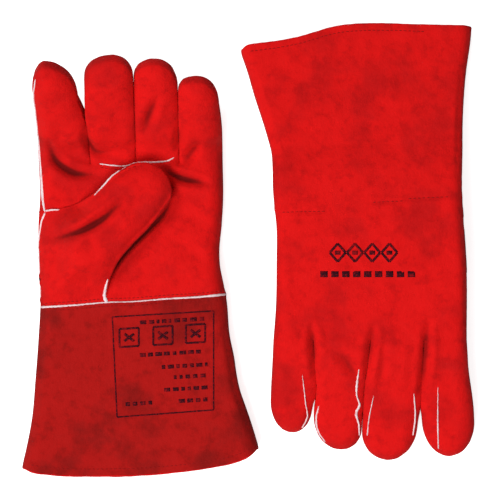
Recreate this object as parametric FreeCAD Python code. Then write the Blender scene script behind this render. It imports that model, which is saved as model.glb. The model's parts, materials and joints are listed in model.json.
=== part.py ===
"""A pair of lined split-leather welding gauntlets, lying on a surface.

The left glove lies palm up with its thumb folded across the palm. The right glove lies palm down on
its folded thumb, so its fingers and its cuff slope to the surface. Each glove is sewn from leather
panels with welt strips in the seams, over a fleece lining. A digit is a hollow tube with one closed end.

Each glove is built flat in its own frame and then set down in the pair's frame, which has +Z up:
    x  across the hand, positive towards the thumb side
    y  along the hand, zero at the wrist seam, positive towards the fingertips
    z  through the hand, zero at the back of the hand, positive towards the palm
"""
import FreeCAD
import Part
import math
import os

V = FreeCAD.Vector

# ---- material thicknesses, mm ----
LEATHER = 1.4               # split cowhide
LINING_GAP = 0.2            # air between leather and lining
LINING = 2.0                # fleece lining
LINING_OUT = LEATHER + LINING_GAP
LINING_IN = LINING_OUT + LINING
WELT = 1.2                  # thickness of a welt strip in a side seam
WELT_PROUD = 0.4            # how far a side welt stands out of its seam
SURFACE_WELT_PROUD = 1.2    # how far a welt on the palm stands up
HEM = 1.0                   # thickness of the turned hem over the cuff
HEM_WIDTH = 9.0
HINGE_GAP = 0.3             # clearance each side of a bending line

# ---- hand ----
HAND_THICK = 28.0
HAND_EDGE = 12.0            # radius of the rolled side edges
HAND_LITTLE_SIDE = -75.0
HAND_THUMB_SIDE = 78.0
END_RUN = 25.0              # how far an open tube is built past its cut end
END_CORNER = 18.0           # corner radius of that cut-off end

# ---- fingers: base centre x, base half width, tip radius, straight length ----
FINGER_LOW, FINGER_HIGH = 2.0, 26.0
FINGER_EDGE = 10.5
FINGER_ROOT = 20.0          # how far behind the knuckle line a finger's outline starts
FINGERS = {
    "index": dict(x=57.0, base=20.5, tip=19.0, length=96.0),
    "middle": dict(x=16.0, base=17.5, tip=19.5, length=99.0),
    "ring": dict(x=-21.0, base=17.5, tip=17.8, length=91.0),
    "little": dict(x=-58.5, base=17.0, tip=16.5, length=76.0),
}

# ---- thumb: an outline of two circles and their tangents, lying on the palm ----
THUMB_ROOT = V(36.0, 36.5, 0)
THUMB_ANGLE = 130.0         # direction of the thumb in plan, from +x
THUMB_REACH = 69.0          # root circle centre to tip circle centre
THUMB_ROOT_R = 27.0
THUMB_TIP_R = 22.5
THUMB_THICK = 22.0
THUMB_LIFT = 0.4            # clearance between thumb and palm
THUMB_EDGE = 10.0
THUMB_HOLE_R = 17.0         # half-round way from the hand into the thumb
THUMB_HOLE_EDGE = 1.5       # leather left between that way and the thumb's root line
THUMB_TOP = HAND_THICK + THUMB_LIFT + THUMB_THICK

# ---- cuff ----
CUFF_LOW, CUFF_HIGH = HEM, 27.0
CUFF_EDGE = 11.0
CUFF_WRIST = dict(little=-77.0, thumb=78.0)
CUFF_FLARE_LITTLE = V(-6.0, -40.0, 0)   # from a hem corner to the end of the uncut cuff outline
CUFF_FLARE_THUMB = V(1.0, -25.0, 0)
HEM_CORNER_RISE = 9.0       # rise of the cutting line from a hem corner to beyond the outline
HEM_CORNER_RUN = 60.0

# ---- welts that stand on the palm ----
WRIST_WELT_Y = 0.4          # near edge of the welt beside the wrist seam
BASE_WELT_SET_BACK = 1.0    # from the knuckle line to the welt below the middle and ring fingers
BASE_WELT_X = (-40.0, 24.0)

FAR = 400.0                 # beyond everything, for trimming

# ---- the two gloves: what differs as they lie ----
GLOVES = {
    "left": dict(
        palm_up=True,
        wrist=V(-95.5, -42.0, 0.0),
        knuckles=113.0,
        curl=dict(index=40.0, middle=38.0, ring=36.0, little=38.0),
        splay=dict(index=11.0, middle=3.5, ring=1.5, little=2.0),
        cuff_bend=0.0,
        hem=[V(-105.0, -122.0, 0), V(-8.0, -145.5, 0), V(91.0, -139.5, 0)],
        cuff_waist=dict(little=V(-84.5, -60.0, 0), thumb=V(81.5, -70.0, 0)),
    ),
    "right": dict(
        palm_up=False,
        wrist=V(99.5, 38.3, THUMB_TOP),
        knuckles=113.0,
        curl=dict(index=16.2, middle=15.6, ring=17.1, little=21.1),
        splay=dict(index=8.0, middle=1.0, ring=-4.0, little=-8.5),
        cuff_bend=8.5,
        hem=[V(-105.0, -124.0, 0), V(-8.0, -146.0, 0), V(87.0, -144.5, 0)],
        cuff_waist=dict(little=V(-86.5, -66.0, 0), thumb=V(80.0, -76.0, 0)),
    ),
}


# ---------------------------------------------------------------- plan outlines
def two_circle_outline(root_r, tip_r, reach):
    """Closed outline round a root circle at the origin and a tip circle at (0, reach)."""
    lean = math.asin((root_r - tip_r) / reach)
    side, rise = math.cos(lean), math.sin(lean)
    a, b = V(root_r * side, root_r * rise, 0), V(tip_r * side, reach + tip_r * rise, 0)
    c, d = V(-b.x, b.y, 0), V(-a.x, a.y, 0)
    tip, tail = V(0, reach + tip_r, 0), V(0, -root_r, 0)
    return Part.Wire([
        Part.LineSegment(a, b).toShape(),
        Part.Arc(b, tip, c).toShape(),
        Part.LineSegment(c, d).toShape(),
        Part.Arc(d, tail, a).toShape(),
    ])


def finger_outline(finger, splay, knuckles):
    """Outline of a finger in the hand's plan, running on behind the knuckle line."""
    reach = finger["length"] - finger["tip"]
    widening = (finger["base"] - finger["tip"]) / reach
    root_r = finger["base"] + widening * FINGER_ROOT
    wire = two_circle_outline(root_r, finger["tip"], reach + FINGER_ROOT)
    wire.translate(V(0, -FINGER_ROOT, 0))
    wire.rotate(V(0, 0, 0), V(0, 0, 1), -splay)
    wire.translate(V(finger["x"], knuckles, 0))
    return wire


def thumb_outline():
    """Outline of the thumb and its wing, round the root and the tip."""
    wire = two_circle_outline(THUMB_ROOT_R, THUMB_TIP_R, THUMB_REACH)
    wire.rotate(V(0, 0, 0), V(0, 0, 1), THUMB_ANGLE - 90.0)
    wire.translate(THUMB_ROOT)
    return wire


def rounded_outline(sides, corner):
    """Closed outline from four side edges in order, with its four corners rounded."""
    rounded = Part.Face(Part.Wire(sides)).extrude(V(0, 0, 1))
    upright = [e for e in rounded.Edges if abs(e.tangentAt(e.FirstParameter).z) > 0.99]
    rounded = rounded.makeFillet(corner, upright)
    floor = min(rounded.Faces, key=lambda f: f.CenterOfMass.z)
    return floor.OuterWire


def hand_outline(knuckles):
    """The hand's rounded plan outline, past the wrist and past the knuckles."""
    low, high = -END_RUN, knuckles + END_RUN
    a, b = V(HAND_LITTLE_SIDE, low, 0), V(HAND_THUMB_SIDE, low, 0)
    c, d = V(HAND_THUMB_SIDE, high, 0), V(HAND_LITTLE_SIDE, high, 0)
    corners = [a, b, c, d, a]
    sides = [Part.LineSegment(p, q).toShape() for p, q in zip(corners, corners[1:])]
    return rounded_outline(sides, END_CORNER)


def cuff_outline(glove):
    """The flared cuff's plan outline, past the wrist and past the hem."""
    little, _, thumb = glove["hem"]
    top_a, top_b = V(CUFF_WRIST["little"], END_RUN, 0), V(CUFF_WRIST["thumb"], END_RUN, 0)
    low_a, low_b = little + CUFF_FLARE_LITTLE, thumb + CUFF_FLARE_THUMB
    sides = [
        Part.LineSegment(low_a, low_b).toShape(),
        Part.Arc(low_b, glove["cuff_waist"]["thumb"], top_b).toShape(),
        Part.LineSegment(top_b, top_a).toShape(),
        Part.Arc(top_a, glove["cuff_waist"]["little"], low_a).toShape(),
    ]
    return rounded_outline(sides, END_CORNER)


# ---------------------------------------------------------------- solids
def pillow(outline, low, high, edge, inset=0.0):
    """A plan outline raised from low to high with rolled edges, moved in by inset all round."""
    wire = outline.makeOffset2D(-inset) if inset else outline
    body = Part.Face(wire).extrude(V(0, 0, high - low - 2 * inset))
    body.translate(V(0, 0, low + inset))
    levels = (low + inset, high - inset)
    rims = [
        e for e in body.Edges
        if any(all(abs(v.Z - z) < 1e-6 for v in e.Vertexes) for z in levels)
    ]
    return body.makeFillet(edge - inset, rims)


def skin(outline, low, high, edge, outer, inner):
    """The wall between two insets of one pillow."""
    return pillow(outline, low, high, edge, outer).cut(pillow(outline, low, high, edge, inner))


def slab(x=(-FAR, FAR), y=(-FAR, FAR), z=(-FAR, FAR)):
    """A box that keeps what lies between the given limits."""
    box = Part.makeBox(x[1] - x[0], y[1] - y[0], z[1] - z[0])
    box.translate(V(x[0], y[0], z[0]))
    return box


def along_thumb(start, end):
    """What lies from start to end along the thumb, measured from its root."""
    box = slab(y=(start, end))
    box.rotate(V(0, 0, 0), V(0, 0, 1), THUMB_ANGLE - 90.0)
    box.translate(THUMB_ROOT)
    return box


def leather_tube(names, outline, low, high, edge, keep, seam=0.0):
    """A leather tube as a lower and an upper panel, a seam's width apart, with its lining.

    keep is the solid that trims the tube to its length."""
    lower_name, upper_name, lining_name = names
    middle = (low + high) / 2
    leather = skin(outline, low, high, edge, 0.0, LEATHER).common(keep)
    return {
        lower_name: leather.common(slab(z=(-FAR, middle - seam / 2))),
        upper_name: leather.common(slab(z=(middle + seam / 2, FAR))),
        lining_name: skin(outline, low, high, edge, LINING_OUT, LINING_IN).common(keep),
    }


def side_welt(outline, low, high, keep):
    """The welt strip in the seam round a tube, standing a little out of it."""
    middle = (low + high) / 2
    reach = Part.Face(outline.makeOffset2D(WELT_PROUD)).extrude(V(0, 0, high))
    inside = Part.Face(outline.makeOffset2D(-LEATHER)).extrude(V(0, 0, high))
    band = slab(z=(middle - WELT / 2, middle + WELT / 2))
    return reach.cut(inside).common(band).common(keep)


# ---------------------------------------------------------------- a glove's bodies
def build_hand(glove):
    """The hand: back and palm panels, side welts, lining, thumb wing and the palm's welts."""
    knuckles = glove["knuckles"]
    outline = hand_outline(knuckles)
    keep = slab(y=(HINGE_GAP / 3, knuckles - HINGE_GAP / 3))
    names = ("back_panel", "palm_panel", "hand_lining")
    parts = leather_tube(names, outline, 0, HAND_THICK, HAND_EDGE, keep, WELT)
    parts["side_welt"] = side_welt(outline, 0, HAND_THICK, keep)

    # the half-round way into the thumb, through palm, lining and the wing's own floor
    depth = LINING_IN * 2
    hole = Part.makeCylinder(THUMB_HOLE_R, 2 * depth, THUMB_ROOT + V(0, 0, HAND_THICK - depth))
    hole = hole.common(along_thumb(-FAR, -THUMB_HOLE_EDGE))
    parts["palm_panel"] = parts["palm_panel"].cut(hole)
    parts["hand_lining"] = parts["hand_lining"].cut(hole)
    wing = skin(thumb_outline(), HAND_THICK, THUMB_TOP, THUMB_EDGE, 0.0, LEATHER)
    parts["thumb_wing"] = wing.common(along_thumb(-FAR, 0.0)).cut(hole)

    # the raised welts, with the palm side only kept
    raised = pillow(outline, 0, HAND_THICK, HAND_EDGE, -SURFACE_WELT_PROUD)
    raised = raised.cut(pillow(outline, 0, HAND_THICK, HAND_EDGE))
    palm_side = (HAND_THICK / 2 + WELT, FAR)
    base_y = knuckles - BASE_WELT_SET_BACK
    wrist = raised.common(slab(y=(WRIST_WELT_Y, WRIST_WELT_Y + WELT), z=palm_side))
    finger_base = raised.common(slab(x=BASE_WELT_X, y=(base_y - WELT, base_y), z=palm_side))
    parts["palm_seam_welts"] = Part.makeCompound([wrist, finger_base])
    return parts


def build_finger(name, glove):
    """One finger, straight, then curled to its rest angle about the knuckle line."""
    finger = FINGERS[name]
    knuckles = glove["knuckles"]
    outline = finger_outline(finger, glove["splay"][name], knuckles)
    keep = slab(y=(knuckles + HINGE_GAP, FAR))
    names = (f"{name}_back", f"{name}_front", f"{name}_lining")
    parts = leather_tube(names, outline, FINGER_LOW, FINGER_HIGH, FINGER_EDGE, keep, WELT)
    parts[f"{name}_welt"] = side_welt(outline, FINGER_LOW, FINGER_HIGH, keep)
    for shape in parts.values():
        shape.rotate(V(0, knuckles, HAND_THICK), V(1, 0, 0), glove["curl"][name])
    return parts


def build_thumb():
    """The thumb from its root line to its tip, lying on the palm."""
    low, high = HAND_THICK + THUMB_LIFT, THUMB_TOP
    keep = along_thumb(HINGE_GAP, FAR)
    names = ("thumb_front", "thumb_back", "thumb_lining")
    parts = leather_tube(names, thumb_outline(), low, high, THUMB_EDGE, keep, WELT)
    parts["thumb_welt"] = side_welt(thumb_outline(), low, high, keep)
    return parts


def beyond_hem(glove, shift):
    """Everything past the hem's curve, when the curve is moved by shift along the hand."""
    a, b, c = (p + V(0, shift, 0) for p in glove["hem"])
    wide_a = a - V(HEM_CORNER_RUN, HEM_CORNER_RISE, 0)
    wide_c = c + V(HEM_CORNER_RUN, HEM_CORNER_RISE, 0)
    far_a, far_c = V(wide_a.x, -FAR, 0), V(wide_c.x, -FAR, 0)
    edges = [
        Part.LineSegment(wide_a, a).toShape(),
        Part.Arc(a, b, c).toShape(),
        Part.LineSegment(c, wide_c).toShape(),
        Part.LineSegment(wide_c, far_c).toShape(),
        Part.LineSegment(far_c, far_a).toShape(),
        Part.LineSegment(far_a, wide_a).toShape(),
    ]
    region = Part.Face(Part.Wire(edges)).extrude(V(0, 0, 2 * FAR))
    region.translate(V(0, 0, -FAR))
    return region


def build_cuff(glove):
    """The cuff: front and back panels, lining and the turned hem, bent at the wrist as it lies."""
    outline = cuff_outline(glove)
    keep = slab(y=(-FAR, -HINGE_GAP)).cut(beyond_hem(glove, 0.0))
    names = ("cuff_back", "cuff_front", "cuff_lining")
    parts = leather_tube(names, outline, CUFF_LOW, CUFF_HIGH, CUFF_EDGE, keep)
    band = skin(outline, CUFF_LOW, CUFF_HIGH, CUFF_EDGE, -HEM, 0.0).common(keep)
    parts["cuff_hem"] = band.common(beyond_hem(glove, HEM_WIDTH))
    for shape in parts.values():
        shape.rotate(V(0, 0, HAND_THICK), V(1, 0, 0), -glove["cuff_bend"])
    return parts


def set_down(shape, glove):
    """Moves a shape from the glove's own frame to the pair's frame."""
    if glove["palm_up"]:
        placed = shape.mirror(V(0, 0, 0), V(1, 0, 0))
    else:
        placed = shape.copy()
        placed.rotate(V(0, 0, 0), V(1, 0, 0), 180.0)
    placed.translate(glove["wrist"])
    return placed


def build_glove(side):
    """{body name: {node name: shape}} for one glove, in the pair's frame."""
    glove = GLOVES[side]
    bodies = {"hand": build_hand(glove), "thumb": build_thumb(), "cuff": build_cuff(glove)}
    for name in FINGERS:
        bodies[name] = build_finger(name, glove)
    return {
        f"{side}_{body}": {f"{side}_{node}": set_down(s, glove) for node, s in parts.items()}
        for body, parts in bodies.items()
    }


def build_pair():
    """Both gloves' bodies in one dictionary."""
    return {body: parts for side in GLOVES for body, parts in build_glove(side).items()}


def main():
    os.makedirs("parts", exist_ok=True)
    box = FreeCAD.BoundBox()
    for parts in build_pair().values():
        for node, shape in parts.items():
            solids = shape.Solids
            whole = solids[0] if len(solids) == 1 else Part.makeCompound(solids)
            whole.exportStep(f"parts/{node}.step")
            box.add(whole.optimalBoundingBox(False))
            if not whole.isValid():
                print("not valid:", node)
            print(f"{node}: {len(solids)} solid(s), {whole.Volume / 1000:.2f} cm3")
    print(f"x {box.XMin:.2f} {box.XMax:.2f}  y {box.YMin:.2f} {box.YMax:.2f}  z {box.ZMin:.2f} {box.ZMax:.2f}")


if __name__ == "__main__":
    main()
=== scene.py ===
"""The looks of a pair of welding gauntlets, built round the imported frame.

Each glove's leather is made flat in the glove's own frame, in millimetres, then bent and laid down
where the frame has it. The glove's own frame is:
    x  across the hand, positive towards the thumb side
    y  along the hand, zero at the wrist, positive towards the fingertips
    z  through the hand, zero at the back of the hand, positive towards the palm
"""

import json
import math

import bmesh
import bpy
import numpy as np
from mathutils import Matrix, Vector
from mathutils.bvhtree import BVHTree


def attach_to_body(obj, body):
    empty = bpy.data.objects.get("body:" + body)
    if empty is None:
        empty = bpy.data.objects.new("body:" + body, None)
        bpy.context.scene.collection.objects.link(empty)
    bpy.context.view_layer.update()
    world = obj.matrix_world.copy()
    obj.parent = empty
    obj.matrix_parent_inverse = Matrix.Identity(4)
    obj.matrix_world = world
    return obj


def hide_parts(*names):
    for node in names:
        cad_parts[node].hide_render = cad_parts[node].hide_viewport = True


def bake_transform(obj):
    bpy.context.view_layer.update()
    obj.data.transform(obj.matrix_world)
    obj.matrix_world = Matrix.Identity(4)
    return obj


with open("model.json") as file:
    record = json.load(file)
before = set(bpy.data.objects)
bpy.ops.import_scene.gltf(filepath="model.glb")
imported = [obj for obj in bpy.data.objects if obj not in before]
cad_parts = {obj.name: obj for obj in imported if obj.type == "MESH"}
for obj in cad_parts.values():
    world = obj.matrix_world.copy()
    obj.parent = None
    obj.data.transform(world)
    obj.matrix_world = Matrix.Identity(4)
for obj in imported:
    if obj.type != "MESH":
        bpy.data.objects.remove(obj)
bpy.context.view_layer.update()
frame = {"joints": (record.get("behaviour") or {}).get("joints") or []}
joints = {joint["name"]: joint for joint in frame["joints"]}

MM = 0.001
FINGERS = ("little", "ring", "middle", "index")     # in order across the hand, from low x to high x

# ---- mesh density ----
FINGER_COLUMNS = 16         # quads across a finger
SIDE_POINTS = 5             # points in a side wall, between its two edges
SEAM_POINT = 3              # which of them is on the side seam
ROW_STEP = 2.9              # mm between rows, before subdivision
CUFF_STEPS = int(135 / ROW_STEP)    # for a cuff 135 mm long
THUMB_STEPS = int(95 / ROW_STEP)    # for a thumb 95 mm long

# ---- sections, mm ----
MIDDLE = 14.0               # height of the side seams above the back of the hand
EDGE_INSET = 1.3            # how far the front and back panels stop inside the outline
HAND_HALF, CUFF_HALF, FINGER_HALF = 14.0, 12.6, 12.4    # half the thickness, away from the edges
EDGE_RUN = 13.0             # how far from an edge the hand's and cuff's rounding reaches
FINGER_EDGE_RUN = 17.0      # the same on the fingers
ROUND_POWER = 2.1           # of the superellipse that rounds the palm side
BACK_ROUND_POWER = 2.6      # the same on the back
BACK_ROUND_SHARE = 0.85     # how far the back's rounding reaches, as a share of the palm side's
PALM_SURFACE = 28.0         # height of the finger and cuff hinges
FINGER_BEND_RUN = 25.0      # length over which a finger turns at its base
CUFF_BEND_RUN = 40.0
WRIST_TILT = -0.068         # the wrist seam's slope across the hand
PRESSED = 3.2               # how much of the rounding is lost where two fingers are pressed together
PRESS_FADES = 0.55          # where that starts to fade, as a share of a finger's straight edge
PRESS_FADE_RUN = 0.5        # and over what share of it
CROTCH_PRESSED = 4.0        # how much more is lost at the knuckles, where two fingers part
CROTCH_RUN = 25.0           # how far past the knuckles that fades out
FINGER_CAP = math.radians(54)       # how far round its tip, to each side, a finger's last row reaches
LEATHER = 1.4
LINING_GAP = 0.7
LINING = 2.0
LINING_ROOM = 2.3           # room that the thumb's lining needs, in depths of its inner face
PARTING_CLEAR = 7.0         # how far the lining stays from where two fingers part
CREVICE_CLEAR = 5.5         # the same on the palm side, from the crevice beside the folded thumb
HEM_LIP = 1.2               # how far the turned hem stands beyond the edge of the leather panels
HEM_DEPTH = 9.0             # how far the leather is turned in
REST_GAP = 0.5              # the leather's least height above the floor
BELOW_HEM = -150.0          # a y that no hem reaches

# ---- the two gloves' outlines, mm ----
# little_side and thumb_side: (y, x) from hem to knuckles. hem: (x, y).
# A finger: lo and hi are its two edges as (distance from the knuckle line, x), and end where the
# rounded tip starts; tip is (x, distance from the knuckle line).
GLOVES = {
    "left": dict(
        palm_up=True,
        little_side=[(-122, -104.4), (-102, -98.3), (-88, -93.5), (-75, -89), (-62, -86.2), (-48, -84.2),
                     (-30, -80.5), (0, -77.8), (14, -75.2), (28, -72.4), (40, -71.8), (62, -73.7),
                     (86, -75), (113, -74.6)],
        thumb_side=[(-138, 92.3), (-123, 88.8), (-100, 84.4), (-65, 81.2), (-30, 78.6), (0, 77.1),
                    (40, 78.5), (62, 78.8), (86, 77.4), (113, 78.6)],
        hem=[(-104.6, -122.5), (-101, -126.8), (-97, -129.7), (-91, -132.8), (-84, -135.4), (-69, -138.8),
             (-49, -142), (-29, -144.1), (-10, -145.6), (20, -146.4), (60, -146), (75, -144.7), (85, -143),
             (92.4, -139.8)],
        fingers=dict(
            index=dict(lo=[(0, 35), (44.6, 40.4), (57.7, 44.4)], hi=[(0, 78.6), (43.4, 80.3), (68, 82)],
                       tip=(71, 93)),
            middle=dict(lo=[(0, -2.5), (80, -1.3)], hi=[(0, 35), (43.8, 38.8), (79, 39.2)], tip=(16, 97.8)),
            ring=dict(lo=[(0, -38.5), (68, -37.8)], hi=[(0, -2.5), (79, -1.3)], tip=(-19.5, 92.7)),
            little=dict(lo=[(0, -74.6), (31, -73.8), (53, -71.5)], hi=[(0, -38.5), (67, -37.8)],
                        tip=(-54, 76.6)),
        ),
    ),
    "right": dict(
        palm_up=False,
        little_side=[(-123.5, -105.4), (-111, -101), (-87, -94.1), (-64, -86.7), (-52, -83.2), (-40, -80.2),
                     (-29, -79.4), (-11, -79), (4, -77.7), (17, -76.3), (51, -76), (86, -76.6),
                     (113, -78.6)],
        thumb_side=[(-144, 86.3), (-133, 85.2), (-122, 83.6), (-110, 81.8), (-87, 79.6), (-64, 78.4),
                    (-41, 78.1), (-11, 77.4), (4, 78.1), (27, 79.5), (51, 81), (113, 81.3)],
        hem=[(-105.6, -124.5), (-103, -128.2), (-98, -129.6), (-88, -130.8), (-73, -133), (-53, -137.2),
             (-33, -143.3), (-18, -146.2), (-3, -147.2), (17, -147.2), (47, -146.3), (86.4, -145.6)],
        fingers=dict(
            index=dict(lo=[(0, 46), (56, 43.5), (63, 44.6)],
                       hi=[(0, 81.3), (16, 82.6), (57, 88), (68, 88.6)],
                       tip=(67, 96)),
            middle=dict(lo=[(0, 2), (30, -2.5), (76, -5)], hi=[(0, 46), (56, 43), (70, 41.2)],
                        tip=(16.4, 99.2)),
            ring=dict(lo=[(0, -45.6), (18, -44.3), (36, -42.7), (48, -43.8), (57, -44.9), (63, -45)],
                      hi=[(0, 2), (30, -2.5), (74, -5)], tip=(-21.6, 90.6)),
            little=dict(lo=[(0, -78.6), (40, -80.6), (50, -80.9)],
                        hi=[(0, -45.6), (18, -43.9), (36, -42.5), (48, -44.2), (54, -46)],
                        tip=(-62.4, 76.2)),
        ),
    ),
}


# ---------------------------------------------------------------- small maths
def smoothstep(t):
    t = np.clip(t, 0.0, 1.0)
    return t * t * (3.0 - 2.0 * t)


def curve_through(points, at):
    """Values at the given places of a smooth curve through (place, value) points."""
    place, value = np.array(points, float).T
    at = np.asarray(at, float)
    if len(place) == 2:
        return np.interp(at, place, value)
    slope = np.gradient(value, place)
    i = np.clip(np.searchsorted(place, at) - 1, 0, len(place) - 2)
    gap = place[i + 1] - place[i]
    t = np.clip((at - place[i]) / gap, 0.0, 1.0)
    t2, t3 = t * t, t * t * t
    ends = (2 * t3 - 3 * t2 + 1) * value[i] + (3 * t2 - 2 * t3) * value[i + 1]
    return ends + gap * ((t3 - 2 * t2 + t) * slope[i] + (t3 - t2) * slope[i + 1])


def distance_to_lines(points, lines, press=None):
    """Each point's distance to the nearest of the polylines, all in plan.

    press adds something to the distance from each vertex of each line, and so makes a line count less.
    """
    nearest = np.full(len(points), 1e9)
    for number, line in enumerate(lines):
        a, b = line[:-1], line[1:]
        along = b - a
        length2 = np.maximum((along ** 2).sum(1), 1e-12)
        offset = points[:, None, :] - a[None]
        t = np.clip((offset * along[None]).sum(2) / length2[None], 0, 1)
        gap = offset - t[..., None] * along[None]
        away = np.sqrt((gap ** 2).sum(2))
        if press is not None:
            away = away + press[number][:-1] * (1 - t) + press[number][1:] * t
        nearest = np.minimum(nearest, away.min(1))
    return nearest


def waves(points, size, seed):
    """Smooth random values from -1 to 1 over plan points, with features of the given size."""
    rng = np.random.default_rng(seed)
    total = np.zeros(len(points))
    for _ in range(7):
        turn, shift = rng.uniform(0, 2 * math.pi, 2)
        pitch = size * rng.uniform(0.7, 1.5)
        along = points[:, 0] * math.cos(turn) + points[:, 1] * math.sin(turn)
        total += np.sin(2 * math.pi * along / pitch + shift)
    return total / 7 * 1.8


def resampled(line, count):
    """The given number of points, evenly spaced along a polyline."""
    length = length_along(line)
    at = np.linspace(0, length[-1], count)
    return np.stack([np.interp(at, length, line[:, k]) for k in range(line.shape[1])], 1)


def length_along(line):
    """Each vertex's distance along a polyline from its start."""
    return np.concatenate([[0], np.cumsum(np.linalg.norm(np.diff(line, axis=0), axis=1))])


def even_points(line, count):
    """The given number of points, evenly spaced along a smooth line through the given points."""
    line = np.array(line, float)
    length = length_along(line)
    at = np.linspace(0, length[-1], 200)
    fine = np.stack([curve_through(list(zip(length, line[:, k])), at) for k in range(line.shape[1])], 1)
    return resampled(fine, count)


def unit(vectors, least=0.0):
    """The vectors at length 1; one shorter than least is only divided by least."""
    return vectors / np.maximum(np.linalg.norm(vectors, axis=1), least)[:, None]


def grid_quads(index, ring=False, loop=False):
    """The quads of a grid of vertex numbers. ring closes each row on itself, and loop each column."""
    if ring:
        index = np.concatenate([index, index[:, :1]], 1)
    if loop:
        index = np.concatenate([index, index[:1]], 0)
    return np.stack([index[:-1, :-1], index[:-1, 1:], index[1:, 1:], index[1:, :-1]], -1).reshape(-1, 4)


# ---------------------------------------------------------------- plan of a glove
class Plan:
    """A glove's outline in plan, with its fingers straight."""

    def __init__(self, side):
        glove = GLOVES[side]
        self.side, self.glove = side, glove
        pos = {name: np.array(joints[f"{side}_{name}"]["pos_m"]) / MM
               for name in ("wrist_bend", "index_curl", "thumb_open")}
        self.wrist = pos["wrist_bend"]
        self.knuckles = abs(pos["index_curl"][1] - self.wrist[1])
        self.thumb_root = self.to_glove(pos["thumb_open"][None])[0]
        self.curl = {f: -joints[f"{side}_{f}_curl"]["range_deg"][0] for f in FINGERS}
        self.cuff_bend = -joints[f"{side}_wrist_bend"]["range_deg"][0]

    def to_frame(self, points):
        """Points of the glove's own frame in the pair's frame, both in mm."""
        x, y, z = np.asarray(points, float).T
        level = z - PALM_SURFACE
        if self.glove["palm_up"]:
            return np.stack([-x, y, level], 1) + self.wrist
        return np.stack([x, -y, -level], 1) + self.wrist

    def to_glove(self, points):
        """Points of the pair's frame in the glove's own frame, both in mm."""
        x, y, z = (np.asarray(points, float) - self.wrist).T
        if self.glove["palm_up"]:
            return np.stack([-x, y, z + PALM_SURFACE], 1)
        return np.stack([x, -y, PALM_SURFACE - z], 1)

    def side_x(self, which, y):
        """The x of the hand's and cuff's side at the given y."""
        return curve_through(self.glove[which], y)

    def finger_edge(self, finger, edge, inset=0.0):
        """One edge of a finger as a function of the distance from the knuckles, tip included."""
        shape = self.glove["fingers"][finger]
        points, (tip_x, tip_s) = shape[edge], shape["tip"]
        start = points[-1][0]
        inward = inset if edge == "lo" else -inset
        reach = points[-1][1] + inward - tip_x

        def x_at(s):
            s = np.asarray(s, float)
            u = np.clip((s - start) / (tip_s - inset - start), 0, 1)
            rounded = tip_x + reach * np.sqrt(np.maximum(1 - u * u, 0))
            return np.where(s < start, curve_through(points, s) + inward, rounded)

        return x_at

    def cap(self, finger, turn, inset):
        """A point of the rounded tip, turn radians from the tip's middle, positive to the high side."""
        shape = self.glove["fingers"][finger]
        tip_x, tip_s = shape["tip"]
        start, edge_x = shape["hi" if turn >= 0 else "lo"][-1]
        reach = abs(edge_x - tip_x) - inset
        return np.array([tip_x + reach * math.sin(turn), start + (tip_s - inset - start) * math.cos(turn)])

    def finger_outline(self, finger):
        """A finger's U-shaped outline, open at the knuckles."""
        s_tip = self.glove["fingers"][finger]["tip"][1]
        sides = []
        for edge in ("lo", "hi"):
            start = self.glove["fingers"][finger][edge][-1][0]
            s = np.linspace(0, start, 14)
            turn = np.linspace(math.pi / 2, 0, 14)[1:]
            sign = 1 if edge == "hi" else -1
            straight = np.stack([self.finger_edge(finger, edge)(s), s], 1)
            rounded = np.array([self.cap(finger, sign * t, 0.0) for t in turn[:-1]] +
                               [[self.glove["fingers"][finger]["tip"][0], s_tip]])
            sides.append(np.concatenate([straight, rounded]))
        line = np.concatenate([sides[0], sides[1][::-1][1:]])
        return line + [0, self.knuckles]

    def outlines(self):
        """Every line at which the leather turns over, and how far its sides are pressed flat there, in mm.

        The lines are the hand's and cuff's two sides, and each finger's outline.
        """
        y = np.linspace(BELOW_HEM, self.knuckles, 90)
        lines = [np.stack([self.side_x(which, y), y], 1) for which in ("little_side", "thumb_side")]
        press = [np.zeros(len(y))] * 2
        for finger in FINGERS:
            line = self.finger_outline(finger)
            low_half = np.arange(len(line)) < len(line) // 2
            beside = {"little": ~low_half, "index": low_half}.get(finger, True)
            past = line[:, 1] - self.knuckles
            starts = [self.glove["fingers"][finger][edge][-1][0] for edge in ("lo", "hi")]
            start = np.where(low_half, *starts)
            lines.append(line)
            together = PRESSED * (1 - smoothstep((past - PRESS_FADES * start) / (PRESS_FADE_RUN * start)))
            press.append(beside * (together + CROTCH_PRESSED * (1 - smoothstep(past / CROTCH_RUN))))
        return lines, press


def finger_base(plan, finger):
    """The x of a finger's panel edges at the knuckles, inset where no other finger is beside it."""
    lo, hi = (plan.finger_edge(finger, edge)(0.0) for edge in ("lo", "hi"))
    return lo + EDGE_INSET * (finger == "little"), hi - EDGE_INSET * (finger == "index")


def knuckle_columns(plan):
    """For the knuckle row, the x of every column: each finger's columns evenly between its edges."""
    xs = []
    for finger in FINGERS:
        columns = np.linspace(*finger_base(plan, finger), FINGER_COLUMNS + 1)
        xs.extend(columns if finger == "little" else columns[1:])
    return np.array(xs)


def blended_grid(base, far, low, high):
    """A grid of plan points inside four sides: base and far run across, low and high run along."""
    q = np.linspace(0, 1, len(base))[None, :, None]
    r = np.linspace(0, 1, len(low))[:, None, None]
    grid = (1 - r) * base[None] + r * far[None] + (1 - q) * low[:, None] + q * high[:, None]
    return grid - (1 - r) * ((1 - q) * base[0] + q * base[-1]) - r * ((1 - q) * far[0] + q * far[-1])


def wrist_row(plan, count):
    """Plan points of the row along the wrist seam."""
    lo, hi = plan.side_x("little_side", 0.0) + EDGE_INSET, plan.side_x("thumb_side", 0.0) - EDGE_INSET
    x = np.linspace(lo, hi, count)
    return np.stack([x, WRIST_TILT * x], 1)


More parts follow.
